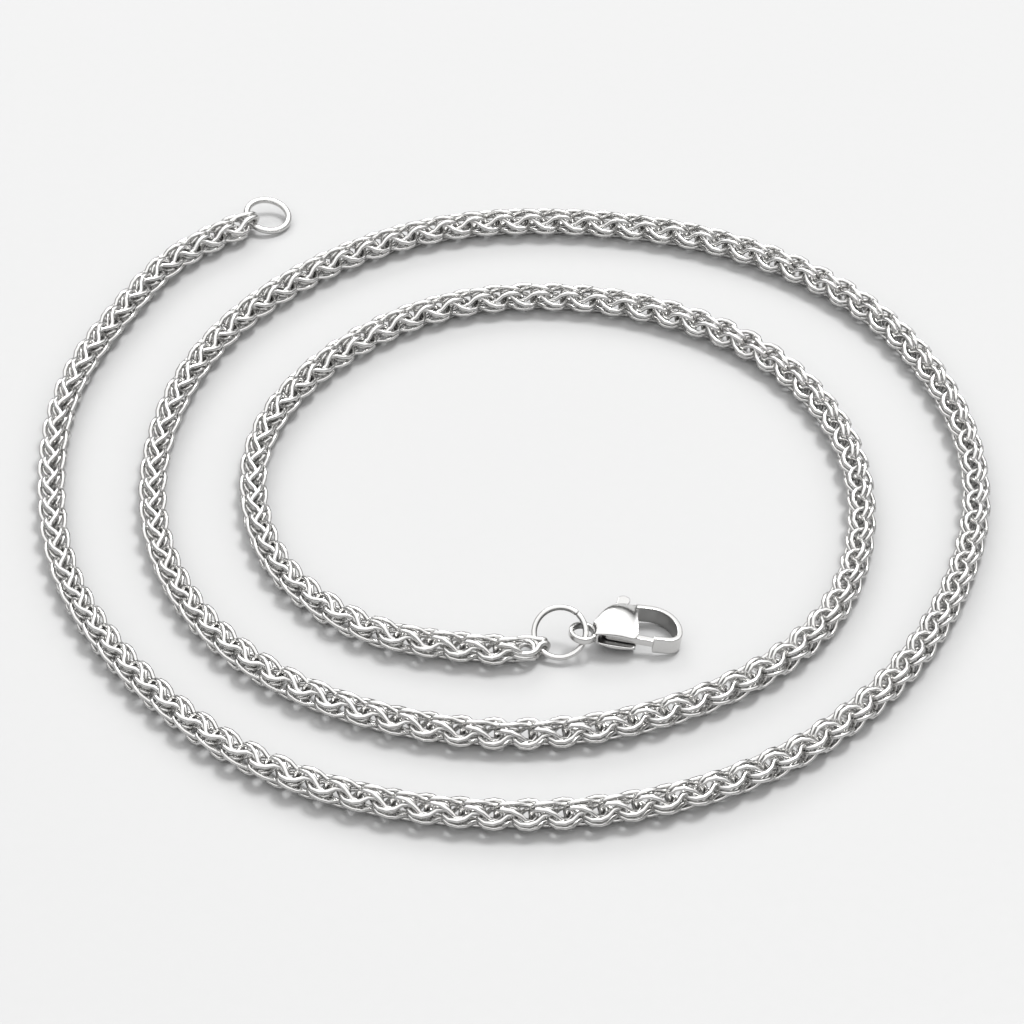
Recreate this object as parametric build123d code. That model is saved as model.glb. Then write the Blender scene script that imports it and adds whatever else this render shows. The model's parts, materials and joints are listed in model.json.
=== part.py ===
from build123d import *
import os
from math import asin, atan2, cos, degrees, hypot, pi, radians, sin, tan

# A steel wheat chain of 61 cm, laid on a surface in an open coil of about two and three quarter turns.
# A soldered ring closes its outer end, and a split ring holds a lobster clasp at its inner end.
# Millimetres. X to the right, Y away, Z up from the surface. The origin lies on the surface, under the
# middle of the coil. The chain is a plain tube of the links' outer width, with a wire eye at each end.

# Chain
CHAIN_WIDTH = 2.9
LINK_WIRE = 0.6
OUTER_EYE_LEG = 1.35
OUTER_EYE_SWING = 0.0
INNER_EYE_LEG = 1.6
INNER_EYE_SWING = 33.0
EYE_GAP = 0.1
EYE_ROOT = 0.6
BEND_SHARE = 0.45
FLOOR_GAP = 0.02

# Ring at the outer end, soldered shut
END_RING_WIRE = 0.7
END_RING_MEAN_RADIUS = 2.33
END_RING_TILT = 15.0
END_RING_RISE_BEARING = 138.0
END_RING_CONTACT_ANGLE = 93.0

# Split ring at the inner end, which holds the clasp
JUMP_RING_WIRE = 0.56
JUMP_RING_MEAN_RADIUS = 2.5
JUMP_RING_TILT = 34.0
JUMP_RING_RISE_BEARING = 80.0
JUMP_RING_CONTACT_ANGLE = 145.0
JUMP_RING_SPLIT = 0.07
JUMP_RING_SPLIT_ANGLE = -35.0
JUMP_RING_CLASP_ANGLE = -80.0

# Clasp body: eyelet towards the lever's side, domed shell with a slot for the lever, and hook
EYELET_RADIUS = 1.42
EYELET_HOLE = 0.95
EYELET_HEIGHT = 0.75
EYELET_EDGE = 0.19
EYELET_SIDE = 1.65
SHELL_START = 0.75
SHELL_LENGTH = 4.45
SHELL_WIDTH = 5.3
SHELL_THICKNESS = 3.2
SHELL_RIM = 2.1
SHELL_NECK_WIDTH = 1.1
SHELL_FRONT_RUN = 0.9
SHELL_CORNER = 0.5
SLOT_HEIGHT = 0.95
SLOT_SETBACK = 0.75
HOOK_REACH = 4.5
HOOK_OPENING = 1.55
HOOK_BAND = 0.55
HOOK_HEIGHT = 1.75
HOOK_EDGE = 0.12
HOOK_ROOT = 0.55
HOOK_SIDE_INSET = 0.05
POCKET_DEPTH = 0.42
POCKET_LIP = 0.17

# Clasp lever and its pin
LEVER_THICKNESS = 0.75
LEVER_GAP = 0.1
LEVER_BAR = 0.62
LEVER_HUB_RADIUS = 0.85
LEVER_ARM = 1.15
TAB_RADIUS = 0.62
TAB_PROUD = 1.7
PIVOT_SETBACK = 1.95
PIVOT_SIDE = 1.0
PIN_RADIUS = 0.35
PIN_LENGTH = 2.1
PIN_BODY_GAP = 0.02
PIN_LEVER_GAP = 0.06
PIN_END_GAP = 0.05

# Place of the clasp round the jump ring
CLASP_BEARING = 0.0
CLASP_ROLL = -3.0
EYELET_AHEAD = -0.25
EYELET_ASIDE = -0.12

# Route of the chain's middle line, from the outer end to the inner one
CHAIN_ROUTE = [
    (-29.6, 44.3),
    (-35.8, 40.0),
    (-40.1, 32.3),
    (-46.4, 17.3),
    (-47.1, 0.8),
    (-44.1, -15.7),
    (-35.6, -30.2),
    (-24.1, -41.7),
    (-9.1, -47.7),
    (7.9, -48.2),
    (23.4, -42.7),
    (35.4, -31.7),
    (43.4, -17.2),
    (47.4, -1.2),
    (45.4, 15.3),
    (37.9, 30.3),
    (24.9, 40.8),
    (9.4, 45.3),
    (-7.6, 44.8),
    (-21.6, 36.8),
    (-32.1, 23.8),
    (-36.6, 7.8),
    (-36.1, -8.7),
    (-29.1, -24.2),
    (-16.1, -34.2),
    (0.4, -38.2),
    (16.4, -34.2),
    (29.9, -23.7),
    (35.4, -8.2),
    (34.4, 8.8),
    (25.9, 23.3),
    (10.9, 31.3),
    (-6.1, 31.3),
    (-19.6, 21.3),
    (-27.1, 6.3),
    (-25.1, -10.7),
    (-17.6, -20.7),
    (-8.8, -24.9),
    (1.4, -25.6),
]
SPLIT_AFTER = 18


def bearing(angle):
    """Level unit vector at an angle from X, in degrees."""
    return Vector(cos(radians(angle)), sin(radians(angle)), 0)


def heading(start, end):
    """Angle from X of the way from one route point to another, in degrees."""
    return degrees(atan2(end[1] - start[1], end[0] - start[0]))


def clamped(share):
    """A sine or cosine kept within its limits."""
    return max(-1.0, min(1.0, share))


class RingPlace:
    """Where a tilted ring lies. It rises along one bearing, and its wire passes through a chosen spot."""

    def __init__(self, radius, wire, rise_bearing, tilt, contact_angle, contact):
        slope = radians(tilt)
        self.radius = radius
        self.wire = wire
        self.uphill = bearing(rise_bearing) * cos(slope) + Vector(0, 0, sin(slope))
        self.normal = bearing(rise_bearing) * -sin(slope) + Vector(0, 0, cos(slope))
        self.across = self.normal.cross(self.uphill)
        self.center = contact - self.spoke(contact_angle)

    def spoke(self, angle):
        """From the centre to the wire, at an angle from the uphill side."""
        return (self.uphill * cos(radians(angle)) + self.across * sin(radians(angle))) * self.radius

    def tangent(self, angle):
        """Direction of the wire at an angle from the uphill side."""
        return self.across * cos(radians(angle)) - self.uphill * sin(radians(angle))

    def point(self, angle):
        """Middle of the wire at an angle from the uphill side."""
        return self.center + self.spoke(angle)

    def solid(self):
        return Plane(origin=self.center, x_dir=self.uphill, z_dir=self.normal) * Torus(self.radius, self.wire / 2)


# Chain: a tube along the route, and a wire eye at each end
def eye_bend(ring_wire):
    """Radius at which a link's wire turns round a ring's wire."""
    return (ring_wire + LINK_WIRE) / 2 + EYE_GAP


def chain_tube(points):
    """A round tube through the points, its corners rounded as far as their two runs allow."""
    spots = [Vector(x, y, CHAIN_WIDTH / 2) for x, y in points]
    runs = [(b - a).length for a, b in zip(spots, spots[1:])]
    turns = [(b - a).get_angle(c - b) for a, b, c in zip(spots, spots[1:], spots[2:])]
    shorter = [min(pair) for pair in zip(runs, runs[1:])]
    # A run that ends at the split is half a run, so its own length is what the corner may use.
    radii = [BEND_SHARE * run / tan(radians(turn / 2)) for run, turn in zip(shorter, turns)]
    path = FilletPolyline(*spots, radius=radii)
    section = Plane(origin=path @ 0, z_dir=path % 0) * Circle(CHAIN_WIDTH / 2)
    tube = sweep(section, path=path)
    print("least bend radius", round(min(radii), 1), "length", round(path.length, 1),
          "volume share", round(tube.volume / (pi * CHAIN_WIDTH ** 2 / 4 * path.length), 5))
    return tube, path.length


def chain_eye(spot, way, leg_length, ring_wire, wire_way):
    """A wire hairpin from inside the tube's end, round a ring's wire at a spot and back."""
    side = way.cross(wire_way).normalized()
    bend = eye_bend(ring_wire)
    root = spot - way * (leg_length + EYE_ROOT)
    upper_root = root + side * bend
    lower_root = root - side * bend
    leg = Line(upper_root, spot + side * bend)
    turn = ThreePointArc(spot + side * bend, spot + way * bend, spot - side * bend)
    back = Line(spot - side * bend, lower_root)
    path = Wire([leg, turn, back])
    return sweep(Plane(origin=upper_root, z_dir=way) * Circle(LINK_WIRE / 2), path=path)


# Clasp: drawn flat, X along its middle line from the eyelet to the hook's tip, Y towards the thumb tab
SHELL_END = SHELL_START + SHELL_LENGTH
DOME_X = SHELL_START + SHELL_LENGTH * 0.68
DOME_REACH = SHELL_WIDTH / 2
DOME_RISE = (SHELL_THICKNESS - SHELL_RIM) / 2
DOME_RADIUS = (DOME_REACH ** 2 + DOME_RISE ** 2) / (2 * DOME_RISE)
DOME_SINK = DOME_RADIUS - SHELL_THICKNESS / 2
HOOK_TIP = SHELL_END + HOOK_REACH
HOOK_LINE_SIDE = SHELL_WIDTH / 2 - HOOK_SIDE_INSET - HOOK_BAND / 2
HOOK_LINE_TIP = HOOK_TIP - HOOK_BAND / 2
HOOK_FREE_END = SHELL_END + HOOK_OPENING
EYELET = Vector(0, -EYELET_SIDE, 0)
PIVOT = Vector(SHELL_START + PIVOT_SETBACK, -PIVOT_SIDE, 0)


def shell_outline():
    """Lopsided drop: nearly straight on the lever's side, full on the thumb tab's, wide at the hook."""
    side = SHELL_WIDTH / 2
    run_x = SHELL_END - SHELL_FRONT_RUN
    neck_far = -EYELET_SIDE + SHELL_NECK_WIDTH / 2
    neck_near = -EYELET_SIDE - SHELL_NECK_WIDTH / 2
    far_x = SHELL_START + (run_x - SHELL_START) * 0.44
    far_y = neck_far + (side - neck_far) * 0.58
    near_x = SHELL_START + (run_x - SHELL_START) * 0.5
    near_y = neck_near + (-side - neck_near) * 0.7
    far = ThreePointArc((SHELL_START, neck_far), (far_x, far_y), (run_x, side))
    far_run = Line((run_x, side), (SHELL_END, side))
    front = Line((SHELL_END, side), (SHELL_END, -side))
    near_run = Line((SHELL_END, -side), (run_x, -side))
    near = ThreePointArc((run_x, -side), (near_x, near_y), (SHELL_START, neck_near))
    back = Line((SHELL_START, neck_near), (SHELL_START, neck_far))
    face = make_face([far, far_run, front, near_run, near, back])
    corners = face.vertices().sort_by(Axis.X)[-2:]
    return fillet(corners, SHELL_CORNER)


def lens():
    """What two large balls have in common: the shell's domes."""
    upper = Pos(DOME_X, 0, -DOME_SINK) * Sphere(DOME_RADIUS)
    lower = Pos(DOME_X, 0, DOME_SINK) * Sphere(DOME_RADIUS)
    return upper & lower


def hook_band():
    """Flat band from the far side of the shell round the tip to its free end at the near side."""
    root_x = SHELL_END - HOOK_ROOT
    reach = HOOK_LINE_TIP - SHELL_END
    side = HOOK_LINE_SIDE
    corners = [
        (root_x, side),
        (SHELL_END + reach * 0.72, side),
        (HOOK_LINE_TIP, side * -0.15),
        (HOOK_LINE_TIP - reach * 0.06, -side),
        (HOOK_FREE_END, -side),
    ]
    radii = [reach * 0.66, reach * 0.8, reach * 0.27]
    path = FilletPolyline(*corners, radius=radii)
    section = Plane(origin=path @ 0, x_dir=(0, 1, 0), z_dir=path % 0)
    return sweep(section * RectangleRounded(HOOK_BAND, HOOK_HEIGHT, HOOK_EDGE), path=path)


def clasp_body():
    height = SHELL_THICKNESS * 2
    shell = extrude(shell_outline(), amount=height, both=True) & lens()
    slot_length = SHELL_LENGTH + HOOK_ROOT
    slot = Pos(SHELL_START + SLOT_SETBACK + slot_length / 2, 0, 0) * Box(slot_length, SHELL_WIDTH * 2, SLOT_HEIGHT)
    eyelet = Cylinder(EYELET_RADIUS, EYELET_HEIGHT) - Cylinder(EYELET_HOLE, EYELET_HEIGHT)
    eyelet = Pos(EYELET) * fillet(eyelet.edges().filter_by(GeomType.CIRCLE), EYELET_EDGE)
    hole = Pos(EYELET) * Cylinder((EYELET_HOLE + EYELET_RADIUS) / 2, SHELL_THICKNESS)
    bore = Pos(PIVOT) * Cylinder(PIN_RADIUS + PIN_BODY_GAP, PIN_LENGTH + 2 * PIN_END_GAP)
    near_side = HOOK_LINE_SIDE + HOOK_BAND / 2
    pocket_width = HOOK_BAND * 2
    pocket_y = -near_side + POCKET_LIP + pocket_width / 2
    pocket_length = POCKET_DEPTH * 2
    pocket = Pos(HOOK_FREE_END, pocket_y, 0) * Box(pocket_length, pocket_width, SLOT_HEIGHT)
    return (shell - slot - hole) + (hook_band() - pocket) + eyelet - bore


def bar_between(start, end, width):
    """Flat strip of a width between two points, as a sketch."""
    way = end - start
    turned = Rot(0, 0, degrees(atan2(way.Y, way.X)))
    return Pos((start + end) * 0.5) * turned * Rectangle(way.length, width)


def clasp_lever():
    """Hub on the pin, a bar that closes the hook, and an arm with a thumb tab at the other side."""
    near_side = HOOK_LINE_SIDE + HOOK_BAND / 2
    tip_y = -near_side + POCKET_LIP + PIN_LEVER_GAP + LEVER_BAR / 2
    tip = Vector(HOOK_FREE_END + POCKET_DEPTH - LEVER_GAP, tip_y, 0)
    bar_start = PIVOT + Vector(0, LEVER_BAR / 2 - LEVER_HUB_RADIUS, 0)
    tab = Vector(SHELL_END - HOOK_ROOT - LEVER_GAP - TAB_RADIUS * 0.75, SHELL_WIDTH / 2 + TAB_PROUD - TAB_RADIUS, 0)
    profile = Pos(PIVOT) * Circle(LEVER_HUB_RADIUS)
    profile += bar_between(bar_start, tip, LEVER_BAR)
    profile += bar_between(PIVOT, tab, LEVER_ARM)
    profile += Pos(tab) * Circle(TAB_RADIUS)
    profile -= Pos(PIVOT) * Circle(PIN_RADIUS + PIN_LEVER_GAP)
    return extrude(profile, amount=LEVER_THICKNESS / 2, both=True)


def pivot_pin():
    return Pos(PIVOT) * Cylinder(PIN_RADIUS, PIN_LENGTH)


# Clasp on the surface: it rests on its lower dome and on the hook's tip, so its nose is a little low
def clasp_pose(body, ring_spot):
    """Plane of the clasp round a spot on the jump ring's wire, with its lowest point just on the surface."""
    along = HOOK_TIP - DOME_X
    upright = DOME_SINK + HOOK_HEIGHT / 2
    nose_down = degrees(asin(clamped(DOME_RADIUS / hypot(along, upright))) - atan2(upright, along))
    turned = Rot(0, 0, CLASP_BEARING) * Rot(0, nose_down, 0) * Rot(CLASP_ROLL, 0, 0)
    height = FLOOR_GAP - (turned * body).bounding_box().min.Z
    eyelet_spot = ring_spot + bearing(CLASP_BEARING) * EYELET_AHEAD + bearing(CLASP_BEARING + 90) * EYELET_ASIDE
    middle = eyelet_spot - (turned * Pos(EYELET)).position
    return Plane(Pos(middle.X, middle.Y, height) * turned)


def eye_spot(route_end, way, leg, ring_wire):
    """Where a ring's wire passes through the eye, whose lower strand lies just on the surface."""
    return Vector(*route_end, eye_bend(ring_wire) + LINK_WIRE / 2 + FLOOR_GAP) + way * leg


def main():
    os.makedirs("parts", exist_ok=True)

    # End ring, round the eye at the outer end
    outer_way = bearing(heading(CHAIN_ROUTE[1], CHAIN_ROUTE[0]) + OUTER_EYE_SWING)
    outer_spot = eye_spot(CHAIN_ROUTE[0], outer_way, OUTER_EYE_LEG, END_RING_WIRE)
    end_ring = RingPlace(END_RING_MEAN_RADIUS, END_RING_WIRE, END_RING_RISE_BEARING, END_RING_TILT,
                         END_RING_CONTACT_ANGLE, outer_spot)

    # Jump ring, round the eye at the inner end
    inner_way = bearing(heading(CHAIN_ROUTE[-2], CHAIN_ROUTE[-1]) + INNER_EYE_SWING)
    inner_spot = eye_spot(CHAIN_ROUTE[-1], inner_way, INNER_EYE_LEG, JUMP_RING_WIRE)
    jump_ring = RingPlace(JUMP_RING_MEAN_RADIUS, JUMP_RING_WIRE, JUMP_RING_RISE_BEARING, JUMP_RING_TILT,
                          JUMP_RING_CONTACT_ANGLE, inner_spot)

    # Chain in two halves that meet on a straight run
    before = CHAIN_ROUTE[SPLIT_AFTER]
    after = CHAIN_ROUTE[SPLIT_AFTER + 1]
    split = ((before[0] + after[0]) / 2, (before[1] + after[1]) / 2)
    outer_tube, outer_length = chain_tube(CHAIN_ROUTE[:SPLIT_AFTER + 1] + [split])
    inner_tube, inner_length = chain_tube([split] + CHAIN_ROUTE[SPLIT_AFTER + 1:])
    outer_eye = chain_eye(outer_spot, outer_way, OUTER_EYE_LEG, END_RING_WIRE,
                          end_ring.tangent(END_RING_CONTACT_ANGLE))
    inner_eye = chain_eye(inner_spot, inner_way, INNER_EYE_LEG, JUMP_RING_WIRE,
                          jump_ring.tangent(JUMP_RING_CONTACT_ANGLE))
    print("chain length", round(outer_length + inner_length + OUTER_EYE_LEG + INNER_EYE_LEG, 1))

    split_place = Plane(origin=jump_ring.point(JUMP_RING_SPLIT_ANGLE),
                        x_dir=jump_ring.tangent(JUMP_RING_SPLIT_ANGLE), z_dir=jump_ring.normal)
    split_cut = split_place * Box(JUMP_RING_SPLIT, JUMP_RING_WIRE * 3, JUMP_RING_WIRE * 3)

    # Clasp, its eyelet round the jump ring's wire
    body = clasp_body()
    clasp = clasp_pose(body, jump_ring.point(JUMP_RING_CLASP_ANGLE))

    nodes = {
        "chain_outer_half": outer_tube + outer_eye,
        "chain_inner_half": inner_tube + inner_eye,
        "end_ring": end_ring.solid(),
        "jump_ring": jump_ring.solid() - split_cut,
        "clasp_body": clasp * body,
        "clasp_lever": clasp * clasp_lever(),
        "pivot_pin": clasp * pivot_pin(),
    }
    for name, shape in nodes.items():
        export_step(shape, f"parts/{name}.step")

    hinge = clasp.from_local_coords(PIVOT)
    box = Compound(children=list(nodes.values())).bounding_box()
    print("hinge at", [round(value, 4) for value in tuple(hinge)])
    print("hinge axis", [round(value, 5) for value in tuple(clasp.z_dir)])
    print("box", tuple(box.min), tuple(box.max), "centre", tuple(box.center()))


main()
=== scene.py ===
"""Wheat chain necklace with a lobster clasp: its wire links, rings, clasp and finishes, on a pale surface."""

import json
import math

import bpy
import numpy as np
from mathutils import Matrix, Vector


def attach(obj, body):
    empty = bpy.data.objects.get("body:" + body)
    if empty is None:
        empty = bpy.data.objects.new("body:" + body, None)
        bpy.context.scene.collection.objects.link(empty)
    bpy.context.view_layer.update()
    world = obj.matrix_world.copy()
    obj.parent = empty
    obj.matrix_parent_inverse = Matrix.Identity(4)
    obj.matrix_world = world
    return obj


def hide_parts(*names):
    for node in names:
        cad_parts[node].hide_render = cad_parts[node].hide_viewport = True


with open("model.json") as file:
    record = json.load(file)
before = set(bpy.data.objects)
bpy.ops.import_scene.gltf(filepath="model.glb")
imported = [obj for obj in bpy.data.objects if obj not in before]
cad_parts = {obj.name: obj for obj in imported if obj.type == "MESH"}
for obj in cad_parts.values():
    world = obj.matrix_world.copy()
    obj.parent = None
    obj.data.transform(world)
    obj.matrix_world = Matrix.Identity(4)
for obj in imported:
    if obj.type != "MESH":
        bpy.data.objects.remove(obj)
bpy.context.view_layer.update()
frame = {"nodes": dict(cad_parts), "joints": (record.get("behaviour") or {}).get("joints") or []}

bl_info = {
    "name": "Wheat chain necklace",
    "version": (1, 0, 0),
    "blender": (4, 5, 0),
    "location": "3D View > Sidebar > Wheat chain",
    "description": "Builds a wheat chain of wire links with its rings and lobster clasp",
    "category": "Add Mesh",
}

MM = 0.001

# The chain's route from its outer end to its inner end, in metres
CHAIN_ROUTE = [
    (-0.0296, 0.0443),
    (-0.0358, 0.0400),
    (-0.0401, 0.0323),
    (-0.0464, 0.0173),
    (-0.0471, 0.0008),
    (-0.0441, -0.0157),
    (-0.0356, -0.0302),
    (-0.0241, -0.0417),
    (-0.0091, -0.0477),
    (0.0079, -0.0482),
    (0.0234, -0.0427),
    (0.0354, -0.0317),
    (0.0434, -0.0172),
    (0.0474, -0.0012),
    (0.0454, 0.0153),
    (0.0379, 0.0303),
    (0.0249, 0.0408),
    (0.0094, 0.0453),
    (-0.0076, 0.0448),
    (-0.0216, 0.0368),
    (-0.0321, 0.0238),
    (-0.0366, 0.0078),
    (-0.0361, -0.0087),
    (-0.0291, -0.0242),
    (-0.0161, -0.0342),
    (0.0004, -0.0382),
    (0.0164, -0.0342),
    (0.0299, -0.0237),
    (0.0354, -0.0082),
    (0.0344, 0.0088),
    (0.0259, 0.0233),
    (0.0109, 0.0313),
    (-0.0061, 0.0313),
    (-0.0196, 0.0213),
    (-0.0271, 0.0063),
    (-0.0251, -0.0107),
    (-0.0176, -0.0207),
    (-0.0088, -0.0249),
    (0.0014, -0.0256),
]

# A quarter of one link's wire, from its tail to its head: along the chain, sideways and up, in millimetres
LINK_QUARTER = [
    (0.20, 0.00, 0.25),
    (0.15, 0.75, 0.25),
    (0.70, 1.25, 0.30),
    (1.35, 1.35, 0.30),
    (2.10, 1.30, 0.50),
    (2.55, 0.90, 0.65),
    (3.00, 0.30, 0.85),
    (3.85, 0.25, 0.85),
    (4.00, 0.30, 0.00),
]

# How far the laid chain is rolled about itself: its heading, turned from the right, and its roll, in degrees
ROLL_BY_HEADING = [
    (-180, 75),
    (-135, 78),
    (-90, 134),
    (-45, 154),
    (0, 200),
    (45, 155),
    (90, 130),
    (135, 75),
    (180, 75),
]

# Slow waves of the roll along the chain: each one's share of the sway, turn from link to link and start
ROLL_WAVES = [
    (0.6, 0.083, 0.0),
    (0.4, 0.031, 1.7),
]

# How far single links are rolled unevenly, in radians, by a wave so short that it looks random
UNEVEN_ROLL = 0.035
UNEVEN_TURN = 12.9898
UNEVEN_START = 4.1

# How fine the wires are: the steps along each path and the sides around it
LINK_STEPS = 30
LINK_SIDES = 6
END_LINK_STEPS = 60
END_LINK_SIDES = 12
RING_STEPS = 96
SPLIT_RING_STEPS = 90
RING_SIDES = 24

# How much a link's steps crowd together in its bends, in metres for each radian
BEND_SHARE = 0.4 * MM

# How high the chain's ends lie at their rings, as a share of the way from the ring's wire to the chain's height
OUTER_END_RISE = 0.8
INNER_END_RISE = 0.1

# The gap under the lowest links, and how many links beside a ring are laid down less and less
FLOOR_GAP = 0.02 * MM
LINKS_TO_RING = 12

# The share of the way that a smoothing round moves each point to its neighbours' middle
SMOOTHING = 0.5

# How glossy each steel is, beside the others
CHAIN_GLOSS = 0.6
RING_GLOSS = 0.9
CLASP_GLOSS = 1.0

# The soft lights, which look at the origin: name, two sides and place in metres, and power in watts
SOFT_LIGHTS = [
    ("key_light", (0.9, 0.9), (0.8, 1.1, 2.75), 78),
    ("top_light", (1.2, 0.7), (-0.6, 1.6, 1.2), 9.6),
]

# The room's light: its greys by the height of the way to them, and its strength
ROOM_GREYS = [(0.2, 0.06), (0.6, 1.0)]
ROOM_STRENGTH = 1.62


# Sizes and colours that a user would change
def length(name, text, default):
    """A length property, in metres."""
    return bpy.props.FloatProperty(name=name, description=text, default=default, min=0, unit="LENGTH",
                                   precision=5)


def angle(name, text, degrees):
    """An angle property, given in degrees."""
    return bpy.props.FloatProperty(name=name, description=text, default=math.radians(degrees),
                                   unit="ROTATION")


def share(name, text, default):
    """A number from nought to one."""
    return bpy.props.FloatProperty(name=name, description=text, default=default, min=0, max=1)


def smoothing(name, text, default):
    """A number of smoothing rounds."""
    return bpy.props.IntProperty(name=name, description=text, default=default, min=0)


def spot(name, text, default):
    """A spot or reach along two or three axes, in metres."""
    return bpy.props.FloatVectorProperty(name=name, description=text, default=default, size=len(default),
                                         unit="LENGTH")


def colour(name, text, default):
    """A linear colour."""
    return bpy.props.FloatVectorProperty(name=name, description=text, default=default, size=3,
                                         subtype="COLOR")


class ChainSizes(bpy.types.PropertyGroup):
    """Sizes of the woven chain and its end links."""
    height: length("Height", "Height of the chain's middle line, before it is laid down", 1.63 * MM)
    wire: length("Wire", "Thickness of a link's wire", 0.48 * MM)
    pitch: length("Pitch", "Distance between links that face the same way", 3.2 * MM)
    twist: angle("Twist", "Twist of each link from its tail to its head", 16)
    roll: angle("Roll", "Turn of the whole woven pattern about the chain", 0)
    sway: angle("Sway", "How far the pattern turns back and forth along the chain", 6)
    end_wire: length("End wire", "Thickness of the wire of the link at each end", 0.54 * MM)
    slim: share("Slim", "How slim the link at each end is across, beside the others", 0.7)
    play: length("Play", "Room between a ring's wire and the link that holds it", 0.05 * MM)


class RingSizes(bpy.types.PropertyGroup):
    """Sizes of the two rings that the frame doesn't give."""
    split: length("Split", "Gap between the jump ring's ends", 0.07 * MM)
    split_angle: angle("Split angle", "Place of the split, from the ring's highest point", -35)
    # Painted shade: how much darker the jump ring's inner side is painted, for its shade and dark reflections
    painted_shade: share("Painted shade", "How dark the jump ring is on its inner side", 0.75)


class ClaspSizes(bpy.types.PropertyGroup):
    """Sizes of the clasp's cast finish, measured along and across the clasp."""
    cast_step: length("Cast step", "Size of the steps that the cast surface is rounded in", 0.045 * MM)
    body_rounds: smoothing("Body rounding", "Rounds of smoothing on the body", 9)
    lever_rounds: smoothing("Lever rounding", "Rounds of smoothing on the lever", 5)
    hollow: spot("Hollow", "Middle of the hook's hollow, from the pin", (4.3 * MM, 1.0 * MM))
    eyelet: spot("Eyelet", "Middle of the eyelet, from the pin", (-2.7 * MM, -0.65 * MM))
    eyelet_reach: length("Eyelet reach", "How far the eyelet's hole reaches from its middle", 1.2 * MM)
    shell_ahead: length("Shell ahead", "Front edge of the shell, from the pin", 2.5 * MM)
    shell_middle: spot("Shell middle", "Middle of the shell, from the pin", (0.3 * MM, 1.0 * MM))
    shell_reach: spot("Shell reach", "Half the shell's length and half its width", (2.2 * MM, 2.65 * MM))
    shell_rounds: smoothing("Shell rounding", "Rounds of smoothing on the shell alone", 90)
    dome: share("Dome", "How much higher the shell's middle stands than its rim", 0.6)
    slot: length("Slot", "Height of the slot that the lever swings in", 0.98 * MM)
    slot_behind: length("Slot behind", "How far the slot reaches behind the pin", 1.25 * MM)
    # Painted shade: how much darker the cast steel is painted in the hook's hollow, the eyelet's hole and the
    # slot
    painted_shade: share("Painted shade", "How dark the cast steel is in its recesses", 0.62)


class FinishSizes(bpy.types.PropertyGroup):
    """Colours and gloss of the steel."""
    steel: colour("Steel", "Colour of the polished steel", (0.66, 0.655, 0.645))
    polish: share("Polish", "Roughness of a polished face", 0.17)
    worn: share("Worn", "Roughness where the polish is worn", 0.33)


class StageSizes(bpy.types.PropertyGroup):
    """The surface, the camera and the soft lights."""
    floor: colour("Floor", "Colour of the pale surface", (0.37, 0.37, 0.37))
    floor_reach: length("Floor reach", "Half the surface's side", 0.9)
    camera_distance: length("Camera distance", "From the camera to the middle of the view", 391.15 * MM)
    camera_height: angle("Camera height", "Angle of the view above the surface", 39.89)
    target: spot("Target", "Middle of the view", (-0.1 * MM, -4.5 * MM, 1.45 * MM))
    lens: bpy.props.FloatProperty(name="Lens", description="Focal length of the lens, in millimetres",
                                  default=137.46, min=1)


# Surfaces
def add_piece(name, points, faces, body, material, replaced=()):
    """A mesh object from an array of points and an array of faces, riding on a body of the frame."""
    mesh = bpy.data.meshes.new(name)
    mesh.from_pydata(points.tolist(), [], faces.tolist())
    mesh.polygons.foreach_set("use_smooth", np.ones(len(mesh.polygons), bool))
    mesh.materials.append(material)
    mesh.update()
    piece = bpy.data.objects.new(name, mesh)
    bpy.context.scene.collection.objects.link(piece)
    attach(piece, body)
    if replaced:
        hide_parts(*replaced)
    return piece


def read_points(mesh, what):
    """The places ("co") or normals ("normal") of a mesh's points, as rows of three."""
    values = np.zeros(len(mesh.vertices) * 3)
    mesh.vertices.foreach_get(what, values)
    return values.reshape(-1, 3)


def grid_faces(rows, columns, closed_rows):
    """Four-sided faces of a grid whose columns close on themselves, and whose rows may too."""
    row = np.arange(rows if closed_rows else rows - 1)[:, None]
    column = np.arange(columns)[None, :]
    next_row = (row + 1) % rows
    next_column = (column + 1) % columns
    corners = [row * columns + column, next_row * columns + column,
               next_row * columns + next_column, row * columns + next_column]
    return np.stack(corners, axis=-1).reshape(-1, 4)


def unit(vectors):
    """Each vector divided by its length."""
    return vectors / np.linalg.norm(vectors, axis=-1, keepdims=True)


def carried_normals(ways):
    """One normal at each step of a path, each the last one carried on with as little twist as it can have."""
    start = np.cross(ways[0], np.eye(3)[np.argmin(np.abs(ways[0]))])
    normals = [start / np.linalg.norm(start)]
    for way in ways[1:]:
        carried = normals[-1] - way * np.dot(normals[-1], way)
        normals.append(carried / np.linalg.norm(carried))
    return np.array(normals)


def closed_wire(path, thickness, sides):
    """Points of a round wire along a closed path: at each step a circle across the path.

    The normals are carried along the path, and the twist that is left over at its end is spread evenly.
    """
    ways = unit(np.roll(path, -1, axis=0) - np.roll(path, 1, axis=0))
    normals = carried_normals(ways)
    final = normals[-1] - ways[0] * np.dot(normals[-1], ways[0])
    left_over = math.atan2(np.dot(np.cross(final, normals[0]), ways[0]), np.dot(final, normals[0]))
    spread = np.linspace(0, left_over, len(path), endpoint=False)[:, None]
    turned = normals * np.cos(spread) + np.cross(ways, normals) * np.sin(spread)
    return circles_across(path, ways, turned, thickness, sides)


def circles_across(path, ways, normals, thickness, sides):
    """A circle of points across a path at each of its steps, as one array."""
    around = np.linspace(0, 2 * math.pi, sides, endpoint=False)
    across = np.cross(ways, normals)
    rim = normals[:, None] * np.cos(around)[None, :, None] + across[:, None] * np.sin(around)[None, :, None]
    return (path[:, None] + rim * thickness / 2).reshape(-1, 3)


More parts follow.
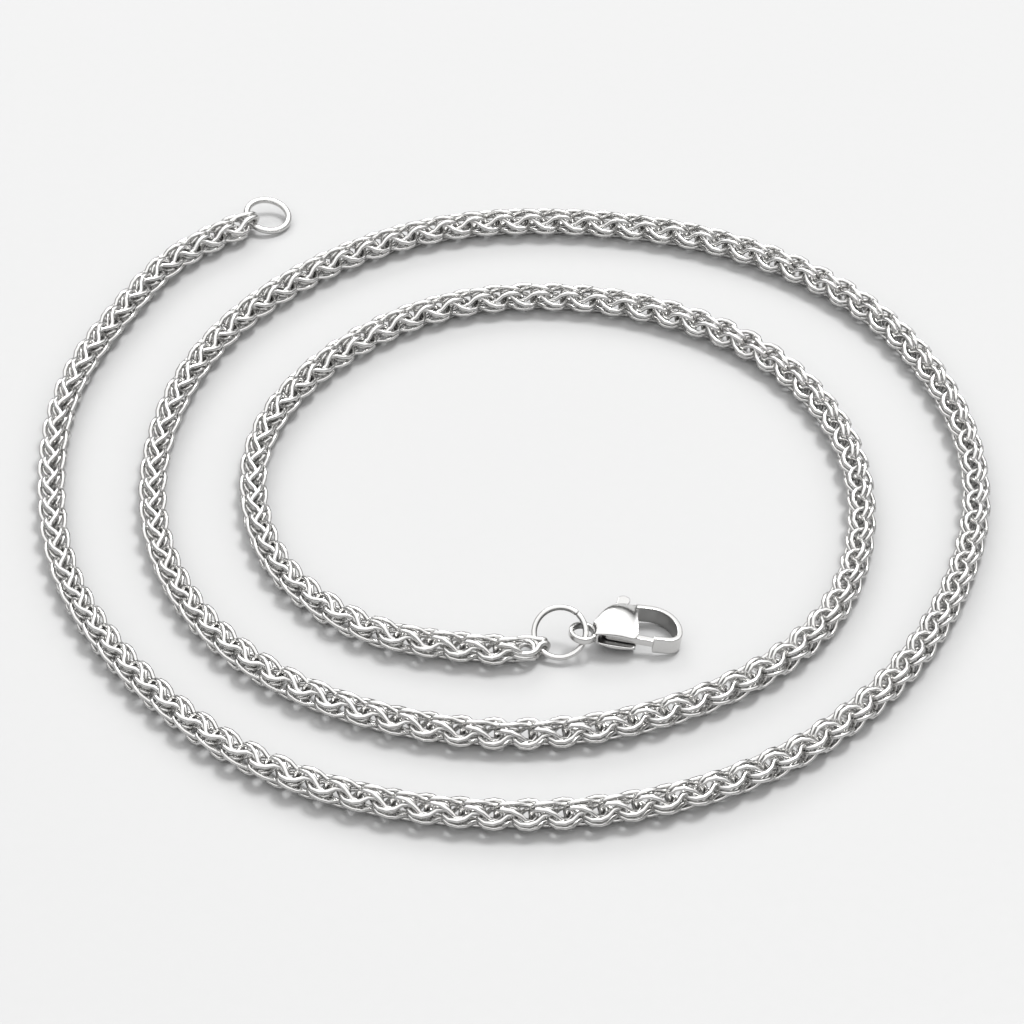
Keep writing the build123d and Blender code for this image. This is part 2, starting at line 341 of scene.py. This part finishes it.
def closed_spline(controls, count):
    """Points on the closed cubic B-spline of the control points, closer in its bends."""
    steps_each = 16
    step = np.arange(len(controls) * steps_each) / steps_each
    first = step.astype(int)
    u = (step - first)[:, None]
    weights = [(1 - u) ** 3, 3 * u ** 3 - 6 * u ** 2 + 4, -3 * u ** 3 + 3 * u ** 2 + 3 * u + 1, u ** 3]
    spots = sum(w * controls[(first + k - 1) % len(controls)] for k, w in enumerate(weights)) / 6
    return evenly(np.vstack([spots, spots[:1]]), count)


def evenly(spots, count):
    """Points along a closed polyline, whose last spot repeats its first.

    They are even in the distance plus the bends' share times the angle turned, so they crowd in the bends.
    """
    steps = np.diff(spots, axis=0)
    ways = unit(steps)
    turned = np.linalg.norm(ways - np.roll(ways, 1, axis=0), axis=1)
    travelled = np.concatenate([[0], np.cumsum(np.linalg.norm(steps, axis=1) + turned * BEND_SHARE)])
    wanted = np.linspace(0, travelled[-1], count, endpoint=False)
    return np.stack([np.interp(wanted, travelled, spots[:, axis]) for axis in range(3)], axis=-1)


def link_path(count, twist):
    """The closed path of one link's wire: its quarter, mirrored up and down and then sideways.

    The whole link is then twisted about the chain, evenly from its tail to its head.
    """
    quarter = np.array(LINK_QUARTER) * MM
    half = np.vstack([quarter, (quarter * (1, 1, -1))[-2::-1]])
    other = (half * (1, -1, 1))[-2:0:-1]
    path = closed_spline(np.vstack([half, other]), count)
    along = (path[:, 0] - path[:, 0].min()) / np.ptp(path[:, 0]) - 0.5
    turn = along * twist
    across = path[:, 1] * np.cos(turn) - path[:, 2] * np.sin(turn)
    above = path[:, 1] * np.sin(turn) + path[:, 2] * np.cos(turn)
    return np.stack([path[:, 0], across, above], axis=-1)


# The chain
def route_line(height):
    """The smooth line through the chain's route, as Blender's own spline gives it."""
    curve = bpy.data.curves.new("route", "CURVE")
    curve.dimensions = "3D"
    curve.resolution_u = 24
    spline = curve.splines.new("NURBS")
    spline.points.add(len(CHAIN_ROUTE) - 1)
    for point, (x, y) in zip(spline.points, CHAIN_ROUTE):
        point.co = (x, y, height, 1)
    spline.order_u = 3
    spline.use_endpoint_u = True
    holder = bpy.data.objects.new("route", curve)
    mesh = bpy.data.meshes.new_from_object(holder)
    spots = read_points(mesh, "co")
    bpy.data.objects.remove(holder)
    bpy.data.curves.remove(curve)
    bpy.data.meshes.remove(mesh)
    return spots


def places_along(line, distances, span):
    """Spots on a line at the given distances from its start, and the direction of the span ahead of each.

    The line goes on straight past both its ends.
    """
    travelled = np.concatenate([[0], np.cumsum(np.linalg.norm(np.diff(line, axis=0), axis=1))])

    def at(where):
        before = np.minimum(where, 0)[:, None] * unit(line[1] - line[0])
        beyond = np.maximum(where - travelled[-1], 0)[:, None] * unit(line[-1] - line[-2])
        on_line = np.stack([np.interp(where, travelled, line[:, axis]) for axis in range(3)], axis=-1)
        return on_line + before + beyond

    return at(distances), unit(at(distances + span) - at(distances))


def link_rolls(sizes, numbers, ways):
    """How far each link is turned about the chain: with its heading, every other one a quarter turn more.

    All have a slow sway and a little unevenness.
    """
    headings = np.degrees(np.arctan2(ways[:, 1], ways[:, 0]))
    laid = np.radians(np.interp(headings, *np.transpose(ROLL_BY_HEADING)))
    slow = sum(np.sin(numbers * turn + start) * part for part, turn, start in ROLL_WAVES)
    uneven = np.sin(numbers * UNEVEN_TURN + UNEVEN_START) * UNEVEN_ROLL
    return sizes.roll + laid + numbers % 2 * math.pi / 2 + slow * sizes.sway + uneven


def placed_links(points, spots, ways, rolls):
    """Copies of one link's points as one array, each with its head forward along the chain and its roll."""
    sideways = unit(np.cross((0.0, 0.0, 1.0), ways))
    upward = np.cross(ways, sideways)
    cosine = np.cos(rolls)[:, None]
    sine = np.sin(rolls)[:, None]
    across = sideways * cosine + upward * sine
    above = upward * cosine - sideways * sine
    axes = np.stack([ways, across, above], axis=1)
    return (spots[:, None] + np.einsum("pi,nij->npj", points, axes)).reshape(-1, 3)


def with_neighbours(values, each_side=4):
    """Every value in a row with its neighbours on both sides, and the end values repeated past the ends."""
    padded = np.pad(values, each_side, mode="edge")
    return np.lib.stride_tricks.sliding_window_view(padded, 2 * each_side + 1)


def laid_down(spots, ways, rolls, link):
    """The links' spots, lowered to where the links nearly touch the surface, and less so towards both rings.

    Their clearance is the least one among the four links on each side, averaged over as many again.
    """
    lowest = placed_links(link, spots, ways, rolls).reshape(len(spots), -1, 3)[:, :, 2].min(axis=1)
    least = with_neighbours(lowest).min(axis=1)
    clear = with_neighbours(least).mean(axis=1)
    numbers = np.arange(len(spots))
    from_ring = np.minimum(numbers, numbers[::-1])
    drop = (clear - FLOOR_GAP) * np.clip(from_ring / LINKS_TO_RING, 0, 1)
    return spots - drop[:, None] * (0, 0, 1)


def repeated_faces(faces, points_each, count):
    """The faces of one shape, numbered for each of its copies."""
    return (faces[None] + (np.arange(count) * points_each)[:, None, None]).reshape(-1, faces.shape[1])


def over_wire(ring, end, rise):
    """A place over the ring's nearest wire, its height between the wire's own and the chain's by the rise."""
    contact = ring.nearest(end)
    return np.array([contact[0], contact[1], contact[2] + (end[2] - contact[2]) * rise])


def link_places(sizes, path):
    """Where each link stands along the chain, and which way its head points, from the outer end to the inner.

    The first and the last link reach round their rings' wires, and the others stand evenly between them.
    """
    first_ring = RingFit("end_ring")
    last_ring = RingFit("jump_ring")
    line = route_line(sizes.height)
    outer_end = over_wire(first_ring, line[0], OUTER_END_RISE)
    inner_end = over_wire(last_ring, line[-1], INNER_END_RISE)
    line = np.vstack([outer_end, line, inner_end])
    tail = path[:, 0].min()
    head = path[:, 0].max()
    start = -tail - (first_ring.wire + sizes.wire) / 2 - sizes.play
    total = np.linalg.norm(np.diff(line, axis=0), axis=1).sum()
    finish = total - head + (last_ring.wire + sizes.wire) / 2 + sizes.play
    count = 2 * round((finish - start) / sizes.pitch) + 1
    return places_along(line, start + np.arange(count) * (finish - start) / (count - 1), head)


class BuildChain(bpy.types.Operator):
    """Builds the woven links of both halves of the chain and the plain link at each end"""
    bl_idname = "necklace.build_chain"
    bl_label = "Build chain"

    def execute(self, context):
        sizes = context.scene.necklace_chain
        steel = polished_steel("chain_steel_finish", context.scene.necklace_finish, CHAIN_GLOSS)
        path = link_path(LINK_STEPS, sizes.twist)
        link = closed_wire(path, sizes.wire, LINK_SIDES)
        faces = grid_faces(LINK_STEPS, LINK_SIDES, True)
        spots, ways = link_places(sizes, path)
        numbers = np.arange(len(spots))
        rolls = link_rolls(sizes, numbers, ways)
        spots = laid_down(spots, ways, rolls, link)
        inside = (numbers > 0) & (numbers < numbers[-1])
        outer = numbers < len(spots) // 2
        for name, node, chosen in (("chain_outer_links", "chain_outer_half", inside & outer),
                                   ("chain_inner_links", "chain_inner_half", inside & ~outer)):
            points = placed_links(link, spots[chosen], ways[chosen], rolls[chosen])
            all_faces = repeated_faces(faces, len(link), int(chosen.sum()))
            add_piece(name, points, all_faces, "chain", steel, [node])
        slim_faces = grid_faces(END_LINK_STEPS, END_LINK_SIDES, True)
        for name, number, slimness in (("outer_end_link", 0, (1, sizes.slim, 1)),
                                       ("inner_end_link", -1, (1, 1, sizes.slim))):
            slim_path = link_path(END_LINK_STEPS, sizes.twist) * slimness
            slim_link = closed_wire(slim_path, sizes.end_wire, END_LINK_SIDES)
            points = placed_links(slim_link, spots[[number]], ways[[number]], rolls[[number]])
            add_piece(name, points, slim_faces, "chain", steel)
        return {"FINISHED"}


# The rings
class RingFit:
    """The circle of a ring's wire, measured on its node in the frame."""

    def __init__(self, node):
        spots = read_points(frame["nodes"][node].data, "co")
        axes = np.linalg.svd(spots - spots.mean(axis=0), full_matrices=False)[2]
        self.normal = axes[2] * np.sign(axes[2][2])
        self.uphill = unit(np.array([0.0, 0.0, 1.0]) - self.normal * self.normal[2])
        self.across = np.cross(self.normal, self.uphill)
        own_axes = np.stack([self.uphill, self.across, self.normal])
        local = spots @ own_axes.T
        middle = (local.min(axis=0) + local.max(axis=0)) / 2
        self.center = middle @ own_axes
        self.wire = np.ptp(local[:, 2])
        self.radius = np.ptp(local[:, 1]) / 2 - self.wire / 2

    def spots(self, angles):
        """Points on the circle at angles from its highest point."""
        way = np.cos(angles)[:, None] * self.uphill + np.sin(angles)[:, None] * self.across
        return self.center + way * self.radius

    def nearest(self, place):
        """The point of the circle nearest to a place."""
        away = place - self.center
        level = away - self.normal * np.dot(away, self.normal)
        return self.center + unit(level) * self.radius


def split_wire(ring, split, split_angle, sides):
    """Points and faces of a ring's wire with a narrow split, its cut ends closed and a little rounded.

    Circles stand across the ring's circle at even angles, and at each end three smaller ones close the cut: a
    tiny one in its middle, one at its rim and one a little behind.
    """
    half_gap = split / 2 / ring.radius
    start = split_angle + half_gap
    finish = split_angle + 2 * math.pi - half_gap
    edge = 0.08 * ring.wire / ring.radius
    behind_cut = np.array([0, 0, 1]) * edge
    closing = np.array([0.02, 0.8, 0.95])
    between = np.linspace(start + 3 * edge, finish - 3 * edge, SPLIT_RING_STEPS)
    angles = np.concatenate([start + behind_cut, between, finish - behind_cut[::-1]])
    shares = np.concatenate([closing, np.ones(len(between)), closing[::-1]])
    spokes = np.cos(angles)[:, None] * ring.uphill + np.sin(angles)[:, None] * ring.across
    around = np.linspace(0, 2 * math.pi, sides, endpoint=False)
    rim = np.cos(around)[None, :, None] * spokes[:, None] - np.sin(around)[None, :, None] * ring.normal
    points = ring.center + spokes[:, None] * ring.radius + rim * (shares * ring.wire / 2)[:, None, None]
    return points.reshape(-1, 3), grid_faces(len(angles), sides, False)


class BuildRings(bpy.types.Operator):
    """Builds the end ring and the split jump ring"""
    bl_idname = "necklace.build_rings"
    bl_label = "Build rings"

    def execute(self, context):
        sizes = context.scene.necklace_rings
        finish = context.scene.necklace_finish
        steel = polished_steel("ring_steel_with_painted_shade", finish, RING_GLOSS, sizes.painted_shade)
        ring = RingFit("end_ring")
        path = ring.spots(np.linspace(0, 2 * math.pi, RING_STEPS, endpoint=False))
        points = closed_wire(path, ring.wire, RING_SIDES)
        faces = grid_faces(RING_STEPS, RING_SIDES, True)
        add_piece("end_ring_wire", points, faces, "chain", steel, ["end_ring"])
        points, faces = split_wire(RingFit("jump_ring"), sizes.split, sizes.split_angle, RING_SIDES)
        ring = add_piece("jump_ring_wire", points, faces, "chain", steel, ["jump_ring"])
        # Painted shade on the jump ring's inner side: its recess share grows as the wire faces the ring's
        # middle
        around = np.linspace(0, 2 * math.pi, RING_SIDES, endpoint=False)
        inward = turned_share(-np.cos(around), 1.5)
        give_recess(ring.data, [np.tile(inward, len(points) // RING_SIDES)])
        return {"FINISHED"}


# The clasp
def cast_copy(name, node, body, step, rounds, material, swell=None):
    """A node's shape as a casting: its faces made even, swollen where a function says, and smoothed."""
    mesh = frame["nodes"][node].data.copy()
    mesh.name = name
    mesh.materials.clear()
    mesh.materials.append(material)
    piece = bpy.data.objects.new(name, mesh)
    bpy.context.scene.collection.objects.link(piece)
    weld = piece.modifiers.new("weld", "WELD")
    weld.merge_threshold = 0.001 * MM
    even = piece.modifiers.new("even", "REMESH")
    even.mode = "VOXEL"
    even.voxel_size = step
    even.use_smooth_shade = True
    settle(piece, name)
    bpy.data.meshes.remove(mesh)
    if swell:
        swell(piece)
    smooth = piece.modifiers.new("smooth", "SMOOTH")
    smooth.factor = SMOOTHING
    smooth.iterations = rounds
    settle(piece, name)
    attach(piece, body)
    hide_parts(node)
    return piece


def settle(piece, name):
    """Makes a piece's modifiers part of its mesh."""
    final = bpy.data.meshes.new_from_object(piece.evaluated_get(bpy.context.evaluated_depsgraph_get()))
    piece.modifiers.clear()
    piece.data = final
    final.name = name


class ClaspFrame:
    """The clasp's own axes at rest: x to the hook's tip, y to the thumb tab, z along the lever's pin."""

    def __init__(self):
        hinge = frame["joints"][0]
        self.upright = unit(np.array(hinge["axis"]))
        self.along = unit(np.cross((0.0, 1.0, 0.0), self.upright))
        self.across = np.cross(self.upright, self.along)
        self.pin = np.array(hinge["pos_m"])

    def local(self, vectors):
        """Directions in the clasp's axes."""
        return vectors @ np.stack([self.along, self.across, self.upright]).T

    def world(self, vectors):
        """Directions in the frame's axes."""
        return vectors @ np.stack([self.along, self.across, self.upright])


def swell_shell(piece, clasp, sizes):
    """Rounds the shell into a dome, and smooths it more than the hook and the eyelet.

    Beyond the slot, heights grow at the shell's middle and shrink towards its rim, by one less the square of
    the distance from the middle, which counts less along the clasp. Below the slot they only shrink, so that
    the clasp stays on the surface. The change fades out at the shell's front edge and towards the eyelet.
    """
    counts_along = 0.7
    least_dome = -0.3
    unchanged_dome = 0.5
    front_fade = 0.3 * MM
    back_fade = 0.6 * MM
    place = clasp.local(read_points(piece.data, "co") - clasp.pin)
    along = (place[:, 0] - sizes.shell_middle[0]) / sizes.shell_reach[0]
    aside = (place[:, 1] - sizes.shell_middle[1]) / sizes.shell_reach[1]
    dome = np.clip(1 - along ** 2 * counts_along - aside ** 2, least_dome, 1)
    in_shell = np.clip((sizes.shell_ahead - place[:, 0]) / front_fade, 0, 1)
    in_shell = in_shell * np.clip((along + 1) * sizes.shell_reach[0] / back_fade, 0, 1)
    height = np.abs(place[:, 2])
    wall = np.maximum(height - sizes.slot / 2, 0)
    growth = 1 + in_shell * sizes.dome * (dome - unchanged_dome)
    grown = wall * np.where(place[:, 2] < 0, np.minimum(growth, 1), growth)
    place[:, 2] = np.sign(place[:, 2]) * (np.minimum(height, sizes.slot / 2) + grown)
    piece.data.vertices.foreach_set("co", (clasp.world(place) + clasp.pin).ravel())
    group = piece.vertex_groups.new(name="shell")
    levels = 10
    for level in range(1, levels + 1):
        chosen = np.flatnonzero(np.round(in_shell * levels) == level)
        group.add(chosen.tolist(), level / levels, "REPLACE")
    soften = piece.modifiers.new("soften", "SMOOTH")
    soften.factor = SMOOTHING
    soften.iterations = sizes.shell_rounds
    soften.vertex_group = "shell"


def mark_recess(piece, clasp, sizes):
    """Gives each point a share for how deep it sits in the hook's hollow, the eyelet's hole or the slot.

    In the hollow and the hole it grows as the face turns towards their middles. In the slot it is one.
    The steel's colour is painted darker by this share, as painted shade.
    """
    place = clasp.local(read_points(piece.data, "co") - clasp.pin)
    facing = clasp.local(read_points(piece.data, "normal"))

    def turned_to(middle):
        """How far each face turns towards a middle, as a share."""
        inward = unit((np.array(tuple(middle) + (0.0,)) - place) * (1, 1, 0))
        return turned_share((facing * inward).sum(axis=1), 1.6)

    hook_fade = 0.4 * MM
    in_hook = np.clip((place[:, 0] - sizes.shell_ahead) / hook_fade, 0, 1)
    eyelet = tuple(sizes.eyelet)
    at_eyelet = np.linalg.norm(place[:, :2] - np.array(eyelet), axis=1) < sizes.eyelet_reach
    behind_front = place[:, 0] < sizes.shell_ahead
    in_slot = (np.abs(place[:, 2]) < sizes.slot / 2) & behind_front & (place[:, 0] > -sizes.slot_behind)
    give_recess(piece.data, [turned_to(sizes.hollow) * in_hook, turned_to(eyelet) * at_eyelet, in_slot * 1.0])


def turned_share(cosine, steepness):
    """A share that starts a little past edge-on and grows as a face turns towards a middle."""
    return np.clip(cosine * steepness - 0.3, 0, 1)


def give_recess(mesh, shares):
    """Keeps the greatest of some shares at each point as the mesh's recess attribute."""
    recess = mesh.attributes.new("recess", "FLOAT", "POINT")
    recess.data.foreach_set("value", np.maximum.reduce(shares))


class BuildClasp(bpy.types.Operator):
    """Builds the clasp's cast body and its sprung lever, and finishes the pin"""
    bl_idname = "necklace.build_clasp"
    bl_label = "Build clasp"

    def execute(self, context):
        sizes = context.scene.necklace_clasp
        finish = context.scene.necklace_finish
        steel = polished_steel("clasp_steel_with_painted_shade", finish, CLASP_GLOSS, sizes.painted_shade)
        clasp = ClaspFrame()
        shell = cast_copy("clasp_shell", "clasp_body", "chain", sizes.cast_step,
                          sizes.body_rounds, steel, lambda piece: swell_shell(piece, clasp, sizes))
        mark_recess(shell, clasp, sizes)
        cast_copy("lever_plate", "clasp_lever", "lever", sizes.cast_step,
                  sizes.lever_rounds, steel)
        for material_slot in frame["nodes"]["pivot_pin"].material_slots:
            material_slot.material = steel
        return {"FINISHED"}


# Materials
class Socket:
    """A shader socket that Python sums can use. Each sum adds its Math node."""

    def __init__(self, maker, socket):
        self.maker = maker
        self.socket = socket

    def combined(self, operation, first, second):
        """The output of a new Math node that joins two sockets or numbers."""
        return self.maker.node("ShaderNodeMath", {"operation": operation}, {0: first, 1: second}).out()

    def __add__(self, other):
        return self.combined("ADD", self, other)

    __radd__ = __add__

    def __mul__(self, other):
        return self.combined("MULTIPLY", self, other)

    __rmul__ = __mul__


class Node:
    """A shader node whose outputs come as sockets for sums."""

    def __init__(self, maker, node):
        self.maker = maker
        self.node = node

    def out(self, name=0):
        """An output by its name or number."""
        return Socket(self.maker, self.node.outputs[name])


class NodeMaker:
    """A new material or world, and the one way that nodes are added to it."""

    def __init__(self, owner):
        owner.use_nodes = True
        self.owner = owner
        self.tree = owner.node_tree
        self.tree.nodes.clear()

    def node(self, kind, settings=None, inputs=None):
        """A node of a kind: its settings first, then the value or link of each named input."""
        node = self.tree.nodes.new(kind)
        for name, value in (settings or {}).items():
            if name == "stops":
                self.set_stops(node.color_ramp, value)
            else:
                setattr(node, name, value)
        for name, value in (inputs or {}).items():
            if isinstance(value, Socket):
                self.tree.links.new(value.socket, node.inputs[name])
            else:
                node.inputs[name].default_value = value
        return Node(self, node)

    def set_stops(self, ramp, stops):
        """Sets a ramp's two stops, each a position and a grey."""
        for element, (position, grey) in zip(ramp.elements, stops):
            element.position = position
            element.color = (grey, grey, grey, 1)

    def finish(self, kind, shader):
        """Leads a shader to the output node of a kind, and gives the finished material or world."""
        self.node(kind, None, {"Surface": shader})
        return self.owner


def polished_steel(name, finish, gloss, painted_shade=0.0):
    """Polished stainless steel: clouds of worn polish, hairlines and the slight waviness of a tumbled wire.

    The clouds are about a millimetre wide, and the hairlines a fifth of that. Where the mesh has a recess
    attribute, the steel's colour is painted darker there as painted shade, and the steel is also duller.
    """
    maker = NodeMaker(bpy.data.materials.new(name))
    place = maker.node("ShaderNodeTexCoord").out("Object")

    def noise(scale, detail, stretch=(1, 1, 1)):
        """Noise in the object's own coordinates, its scale in waves for each metre."""
        stretched = maker.node("ShaderNodeMapping", None, {"Vector": place, "Scale": stretch}).out()
        inputs = {"Vector": stretched, "Scale": scale, "Detail": detail}
        return maker.node("ShaderNodeTexNoise", None, inputs).out("Fac")

    clouds = noise(900, 3)
    hairlines = noise(5200, 2, (0.25, 1.6, 1.0))
    worn_stops = {"stops": [(0.45, 0.0), (0.75, 1.0)]}
    worn = maker.node("ShaderNodeValToRGB", worn_stops, {"Fac": clouds}).out("Color")
    # Painted shade: the recess share, scaled by the painted shade setting, darkens the steel's colour below
    recess = maker.node("ShaderNodeAttribute", {"attribute_name": "recess"}).out("Fac") * painted_shade
    # Wear shows less on a glossier steel. Hairlines and recesses add a little roughness.
    roughness = finish.polish + worn * (finish.worn - finish.polish) * (1.3 - gloss) + hairlines * 0.05
    roughness = roughness + recess * 0.25
    bright = tuple(finish.steel) + (1,)
    dark = tuple(part * 0.25 for part in finish.steel) + (1,)
    # Colour: a random tone from the clouds of worn polish, plus painted shade where the recess share is high
    tint = maker.node("ShaderNodeMix", {"data_type": "RGBA"},
                      {"Factor": (clouds * 0.15) + recess, 6: bright, 7: dark}).out(2)
    waviness = noise(2600, 2)
    relief = {"Height": hairlines * 0.35 + waviness * 0.65, "Strength": 0.12, "Distance": 0.02 * MM}
    bump = maker.node("ShaderNodeBump", None, relief).out()
    shader = maker.node("ShaderNodeBsdfPrincipled", None,
                        {"Base Color": tint, "Metallic": 1.0, "Roughness": roughness, "Normal": bump})
    return maker.finish("ShaderNodeOutputMaterial", shader.out())


# The stage
def soft_light(name, sides, place, power):
    """A rectangular area light that looks at the origin."""
    light = bpy.data.lights.new(name, "AREA")
    light.shape = "RECTANGLE"
    light.size, light.size_y = sides
    light.energy = power
    holder = bpy.data.objects.new(name, light)
    holder.location = place
    holder.rotation_euler = (-Vector(place)).to_track_quat("-Z", "Y").to_euler()
    bpy.context.scene.collection.objects.link(holder)


def soft_room():
    """A world that is dark below and pale above, by the height of the way to it."""
    maker = NodeMaker(bpy.data.worlds.new("soft_room"))
    way = maker.node("ShaderNodeTexCoord").out("Generated")
    height = maker.node("ShaderNodeSeparateXYZ", None, {"Vector": way}).out("Z")
    grey = maker.node("ShaderNodeValToRGB", {"stops": ROOM_GREYS}, {"Fac": height}).out("Color")
    light = maker.node("ShaderNodeBackground", None, {"Color": grey, "Strength": ROOM_STRENGTH})
    return maker.finish("ShaderNodeOutputWorld", light.out())


class BuildStage(bpy.types.Operator):
    """Makes the pale surface, the camera and the soft lights"""
    bl_idname = "necklace.build_stage"
    bl_label = "Build stage"

    def execute(self, context):
        scene = context.scene
        self.floor(scene.necklace_stage)
        self.camera(scene, scene.necklace_stage)
        for light in SOFT_LIGHTS:
            soft_light(*light)
        scene.world = soft_room()
        scene.view_settings.view_transform = "Standard"
        return {"FINISHED"}

    def floor(self, sizes):
        """A level square, with a plain pale material."""
        reach = sizes.floor_reach
        maker = NodeMaker(bpy.data.materials.new("pale_surface"))
        place = maker.node("ShaderNodeTexCoord").out("Object")
        grain = maker.node("ShaderNodeTexNoise", None, {"Vector": place, "Scale": 900.0}).out("Fac")
        shader = maker.node("ShaderNodeBsdfPrincipled", None,
                            {"Base Color": tuple(sizes.floor) + (1,), "Roughness": 0.55 + grain * 0.1})
        corners = [(-reach, -reach, 0), (reach, -reach, 0), (reach, reach, 0), (-reach, reach, 0)]
        mesh = bpy.data.meshes.new("pale_floor")
        mesh.from_pydata(corners, [], [(0, 1, 2, 3)])
        mesh.materials.append(maker.finish("ShaderNodeOutputMaterial", shader.out()))
        floor = bpy.data.objects.new("pale_floor", mesh)
        bpy.context.scene.collection.objects.link(floor)

    def camera(self, scene, sizes):
        """A long lens that looks down at the coil from the front."""
        camera = bpy.data.cameras.new("camera")
        camera.sensor_width = 36.0
        camera.lens = sizes.lens
        camera.clip_start = 0.02
        holder = bpy.data.objects.new("camera", camera)
        back = Vector((0, -math.cos(sizes.camera_height), math.sin(sizes.camera_height)))
        holder.location = Vector(sizes.target) + back * sizes.camera_distance
        holder.rotation_euler = (-back).to_track_quat("-Z", "Y").to_euler()
        scene.collection.objects.link(holder)
        scene.camera = holder


class NecklacePanel(bpy.types.Panel):
    """Lists the steps that build the necklace"""
    bl_idname = "NECKLACE_PT_steps"
    bl_label = "Wheat chain"
    bl_space_type = "VIEW_3D"
    bl_region_type = "UI"
    bl_category = "Wheat chain"

    def draw(self, context):
        """One button for each step."""
        for operator in OPERATORS:
            self.layout.operator(operator.bl_idname)


GROUPS = {
    "necklace_chain": ChainSizes,
    "necklace_rings": RingSizes,
    "necklace_clasp": ClaspSizes,
    "necklace_finish": FinishSizes,
    "necklace_stage": StageSizes,
}
OPERATORS = [BuildChain, BuildRings, BuildClasp, BuildStage]


def register():
    """Registers the sizes, the steps and the panel."""
    for name, group in GROUPS.items():
        bpy.utils.register_class(group)
        setattr(bpy.types.Scene, name, bpy.props.PointerProperty(type=group))
    for operator in OPERATORS:
        bpy.utils.register_class(operator)
    bpy.utils.register_class(NecklacePanel)


def unregister():
    """Takes back all that register does, in the opposite order."""
    bpy.utils.unregister_class(NecklacePanel)
    for operator in reversed(OPERATORS):
        bpy.utils.unregister_class(operator)
    for name, group in reversed(GROUPS.items()):
        delattr(bpy.types.Scene, name)
        bpy.utils.unregister_class(group)


def main():
    """Builds the necklace and its stage."""
    register()
    bpy.ops.necklace.build_chain()
    bpy.ops.necklace.build_rings()
    bpy.ops.necklace.build_clasp()
    bpy.ops.necklace.build_stage()


if __name__ == "__main__":
    main()
